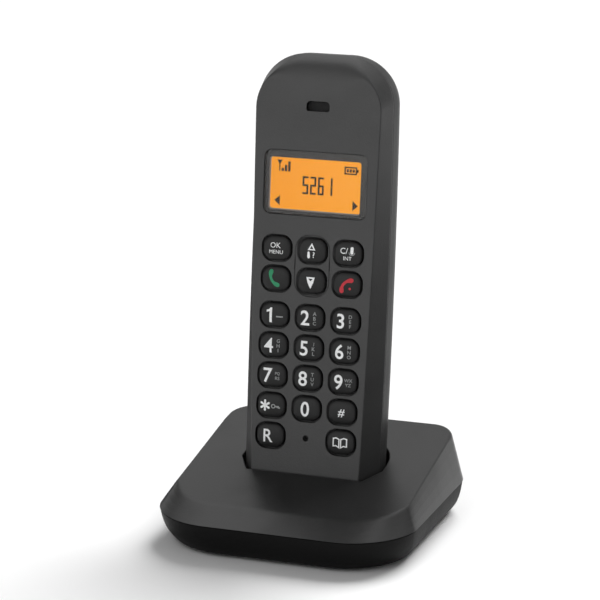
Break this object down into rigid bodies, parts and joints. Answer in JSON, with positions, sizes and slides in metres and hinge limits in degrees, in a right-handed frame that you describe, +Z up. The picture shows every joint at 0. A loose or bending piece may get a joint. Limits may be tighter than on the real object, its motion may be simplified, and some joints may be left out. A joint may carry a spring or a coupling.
{
  "type": "cordless phone with base",
  "caption": "Cordless phone: slim keypad handset with a lit display, standing in a low square charging base with a sloping top.",
  "frame": {"origin": "on the table under the middle of the base", "axes": "+X to the user's right, +Y to the back, +Z up"},
  "size_m": [0.086, 0.0812, 0.1525],
  "materials": {
    "housing_plastic": "fine moulded texture, satin",
    "rear_plastic": "fine moulded texture, satin",
    "base_plastic": "fine moulded texture, satin",
    "dark_plastic": "smooth satin",
    "key_plastic": "soft satin with printed legends",
    "window": "clear, hard coated",
    "display": "lit amber picture",
    "white_plastic": "diffuse",
    "silicone": "matt",
    "circuit_board": "solder mask",
    "tin_plate": "bright tin",
    "gold_contact": "gold plated",
    "mesh_fabric": "fine woven mesh",
    "cell_sleeve": "shrink sleeve",
    "spring_steel": "nickel plated",
    "socket_plastic": "smooth",
    "rubber": "matt"
  },
  "bodies": {
    "base": {"base_top_shell": "base_plastic", "base_bottom_shell": "dark_plastic", "base_board": "circuit_board", "base_radio_shield": "tin_plate", "base_antenna": "gold_contact", "line_socket": "socket_plastic", "line_socket_pins": "gold_contact", "power_socket": "socket_plastic", "power_socket_pins": "gold_contact", "charge_springs": "gold_contact", "page_switch": "dark_plastic", "rubber_feet": "rubber", "base_screws": "spring_steel"},
    "handset": {"front_cover": "housing_plastic", "rear_cover": "rear_plastic", "display_window": "window", "display_panel": "display", "display_backlight": "white_plastic", "keypad_mat": "silicone", "handset_board": "circuit_board", "handset_radio_shield": "tin_plate", "handset_antenna": "gold_contact", "earpiece": "dark_plastic", "earpiece_mesh": "mesh_fabric", "microphone": "tin_plate", "ringer": "dark_plastic", "battery_cell_left": "cell_sleeve", "battery_cell_right": "cell_sleeve", "battery_springs": "spring_steel", "battery_plates": "spring_steel", "handset_charge_pads": "gold_contact", "handset_screws": "spring_steel"},
    "battery_door": {"battery_door": "rear_plastic"},
    "page_key": {"page_key": "key_plastic"},
    "key_menu": {"key_menu": "key_plastic"},
    "key_up": {"key_up": "key_plastic"},
    "key_mute": {"key_mute": "key_plastic"},
    "key_talk": {"key_talk": "key_plastic"},
    "key_down": {"key_down": "key_plastic"},
    "key_end": {"key_end": "key_plastic"},
    "key_1": {"key_1": "key_plastic"},
    "key_2": {"key_2": "key_plastic"},
    "key_3": {"key_3": "key_plastic"},
    "key_4": {"key_4": "key_plastic"},
    "key_5": {"key_5": "key_plastic"},
    "key_6": {"key_6": "key_plastic"},
    "key_7": {"key_7": "key_plastic"},
    "key_8": {"key_8": "key_plastic"},
    "key_9": {"key_9": "key_plastic"},
    "key_star": {"key_star": "key_plastic"},
    "key_0": {"key_0": "key_plastic"},
    "key_hash": {"key_hash": "key_plastic"},
    "key_recall": {"key_recall": "key_plastic"},
    "key_book": {"key_book": "key_plastic"}
  },
  "joints": [
    {"name": "handset_lift", "type": "slide", "parent": "base", "child": "handset", "axis": [0, 0.1087, 0.9941], "range_m": [0, 0.06]},
    {"name": "battery_door_lift", "type": "slide", "parent": "handset", "child": "battery_door", "axis": [0, 0.9941, -0.1087], "range_m": [0, 0.03]},
    {"name": "page_key_press", "type": "slide", "parent": "base", "child": "page_key", "axis": [0, -1, 0], "range_m": [0, 0.001], "stiffness_N_per_m": 600, "springref_m": -0.001},
    {"name": "key_menu_press", "type": "slide", "parent": "handset", "child": "key_menu", "axis": [0, 0.9941, -0.1087], "range_m": [0, 0.0008], "stiffness_N_per_m": 800, "springref_m": -0.0005},
    {"name": "key_up_press", "type": "slide", "parent": "handset", "child": "key_up", "axis": [0, 0.9941, -0.1087], "range_m": [0, 0.0008], "stiffness_N_per_m": 800, "springref_m": -0.0005},
    {"name": "key_mute_press", "type": "slide", "parent": "handset", "child": "key_mute", "axis": [0, 0.9941, -0.1087], "range_m": [0, 0.0008], "stiffness_N_per_m": 800, "springref_m": -0.0005},
    {"name": "key_talk_press", "type": "slide", "parent": "handset", "child": "key_talk", "axis": [0, 0.9941, -0.1087], "range_m": [0, 0.0008], "stiffness_N_per_m": 800, "springref_m": -0.0005},
    {"name": "key_down_press", "type": "slide", "parent": "handset", "child": "key_down", "axis": [0, 0.9941, -0.1087], "range_m": [0, 0.0008], "stiffness_N_per_m": 800, "springref_m": -0.0005},
    {"name": "key_end_press", "type": "slide", "parent": "handset", "child": "key_end", "axis": [0, 0.9941, -0.1087], "range_m": [0, 0.0008], "stiffness_N_per_m": 800, "springref_m": -0.0005},
    {"name": "key_1_press", "type": "slide", "parent": "handset", "child": "key_1", "axis": [0, 0.9941, -0.1087], "range_m": [0, 0.0008], "stiffness_N_per_m": 800, "springref_m": -0.0005},
    {"name": "key_2_press", "type": "slide", "parent": "handset", "child": "key_2", "axis": [0, 0.9941, -0.1087], "range_m": [0, 0.0008], "stiffness_N_per_m": 800, "springref_m": -0.0005},
    {"name": "key_3_press", "type": "slide", "parent": "handset", "child": "key_3", "axis": [0, 0.9941, -0.1087], "range_m": [0, 0.0008], "stiffness_N_per_m": 800, "springref_m": -0.0005},
    {"name": "key_4_press", "type": "slide", "parent": "handset", "child": "key_4", "axis": [0, 0.9941, -0.1087], "range_m": [0, 0.0008], "stiffness_N_per_m": 800, "springref_m": -0.0005},
    {"name": "key_5_press", "type": "slide", "parent": "handset", "child": "key_5", "axis": [0, 0.9941, -0.1087], "range_m": [0, 0.0008], "stiffness_N_per_m": 800, "springref_m": -0.0005},
    {"name": "key_6_press", "type": "slide", "parent": "handset", "child": "key_6", "axis": [0, 0.9941, -0.1087], "range_m": [0, 0.0008], "stiffness_N_per_m": 800, "springref_m": -0.0005},
    {"name": "key_7_press", "type": "slide", "parent": "handset", "child": "key_7", "axis": [0, 0.9941, -0.1087], "range_m": [0, 0.0008], "stiffness_N_per_m": 800, "springref_m": -0.0005},
    {"name": "key_8_press", "type": "slide", "parent": "handset", "child": "key_8", "axis": [0, 0.9941, -0.1087], "range_m": [0, 0.0008], "stiffness_N_per_m": 800, "springref_m": -0.0005},
    {"name": "key_9_press", "type": "slide", "parent": "handset", "child": "key_9", "axis": [0, 0.9941, -0.1087], "range_m": [0, 0.0008], "stiffness_N_per_m": 800, "springref_m": -0.0005},
    {"name": "key_star_press", "type": "slide", "parent": "handset", "child": "key_star", "axis": [0, 0.9941, -0.1087], "range_m": [0, 0.0008], "stiffness_N_per_m": 800, "springref_m": -0.0005},
    {"name": "key_0_press", "type": "slide", "parent": "handset", "child": "key_0", "axis": [0, 0.9941, -0.1087], "range_m": [0, 0.0008], "stiffness_N_per_m": 800, "springref_m": -0.0005},
    {"name": "key_hash_press", "type": "slide", "parent": "handset", "child": "key_hash", "axis": [0, 0.9941, -0.1087], "range_m": [0, 0.0008], "stiffness_N_per_m": 800, "springref_m": -0.0005},
    {"name": "key_recall_press", "type": "slide", "parent": "handset", "child": "key_recall", "axis": [0, 0.9941, -0.1087], "range_m": [0, 0.0008], "stiffness_N_per_m": 800, "springref_m": -0.0005},
    {"name": "key_book_press", "type": "slide", "parent": "handset", "child": "key_book", "axis": [0, 0.9941, -0.1087], "range_m": [0, 0.0008], "stiffness_N_per_m": 800, "springref_m": -0.0005}
  ]
}
